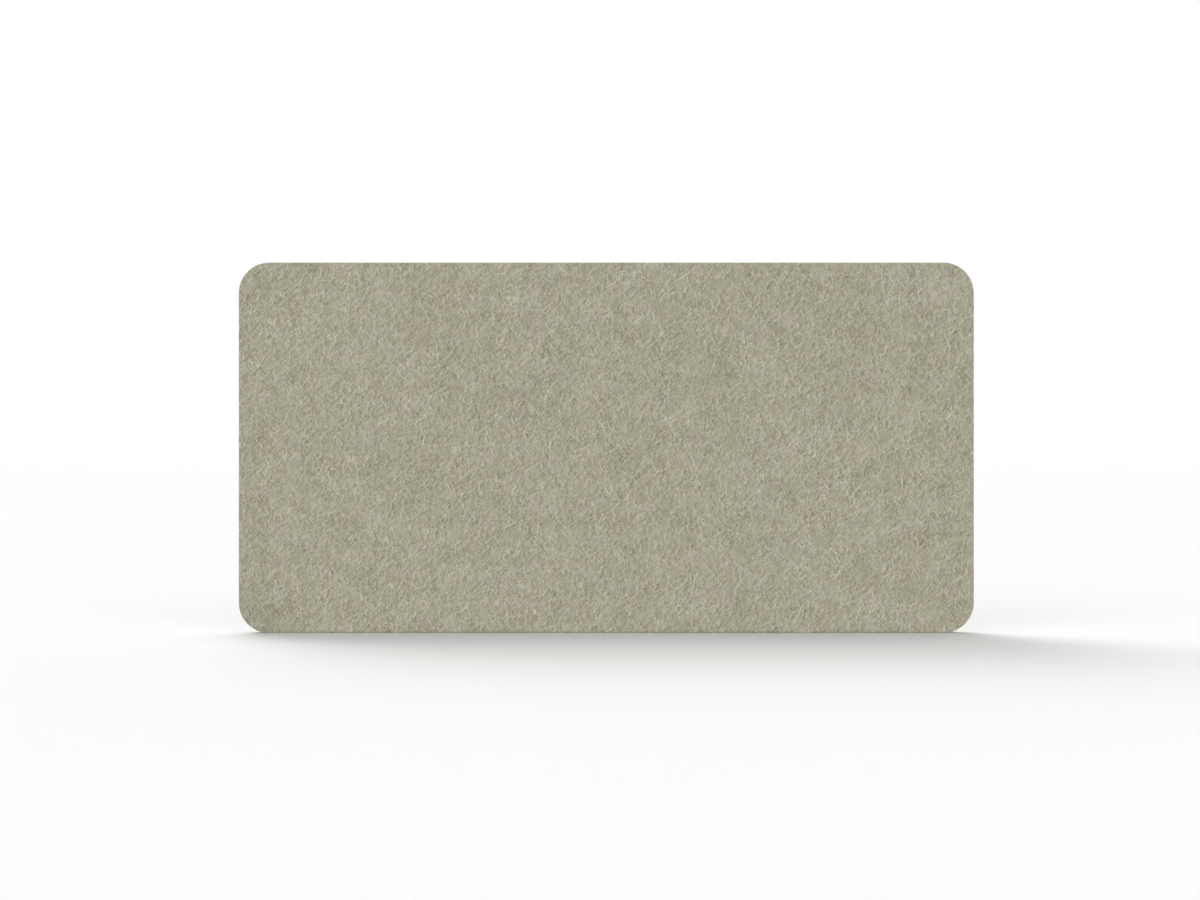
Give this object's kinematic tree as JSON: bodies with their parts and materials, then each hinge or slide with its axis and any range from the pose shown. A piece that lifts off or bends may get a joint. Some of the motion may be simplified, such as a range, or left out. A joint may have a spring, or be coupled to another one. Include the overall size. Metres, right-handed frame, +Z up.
{
  "type": "acoustic divider screen",
  "caption": "Flat felt-faced acoustic screen with rounded corners, built as two felt boards on a grooved plywood frame with septum boards and wool slabs inside.",
  "frame": {"origin": "middle of the underside, where the screen stands on the floor or desk", "axes": "+X along the screen to the right as seen from the front, +Y through it from front to back, +Z up"},
  "size_m": [1.2, 0.03, 0.605],
  "materials": {
    "pressed_felt": "needle-punched, matte, mottled grey-green and beige",
    "felt_strip": "needle-punched, matte, same fibre mix as the boards",
    "birch_plywood": "sawn and sanded, unfinished",
    "hardboard": "pressed fibreboard, matte",
    "polyester_wool": "lofted white wool, matte",
    "zinc_plated_steel": "bright zinc plating"
  },
  "bodies": {
    "root": {"front_felt_board": "pressed_felt", "back_felt_board": "pressed_felt", "edge_band": "felt_strip", "bottom_band": "felt_strip", "top_rail": "birch_plywood", "bottom_rail": "birch_plywood", "left_stile": "birch_plywood", "right_stile": "birch_plywood", "left_muntin": "birch_plywood", "right_muntin": "birch_plywood", "left_septum": "hardboard", "middle_septum": "hardboard", "right_septum": "hardboard", "left_front_absorber": "polyester_wool", "left_back_absorber": "polyester_wool", "middle_front_absorber": "polyester_wool", "middle_back_absorber": "polyester_wool", "right_front_absorber": "polyester_wool", "right_back_absorber": "polyester_wool", "corner_lap_screws": "zinc_plated_steel", "foot_inserts": "zinc_plated_steel"}
  },
  "joints": []
}
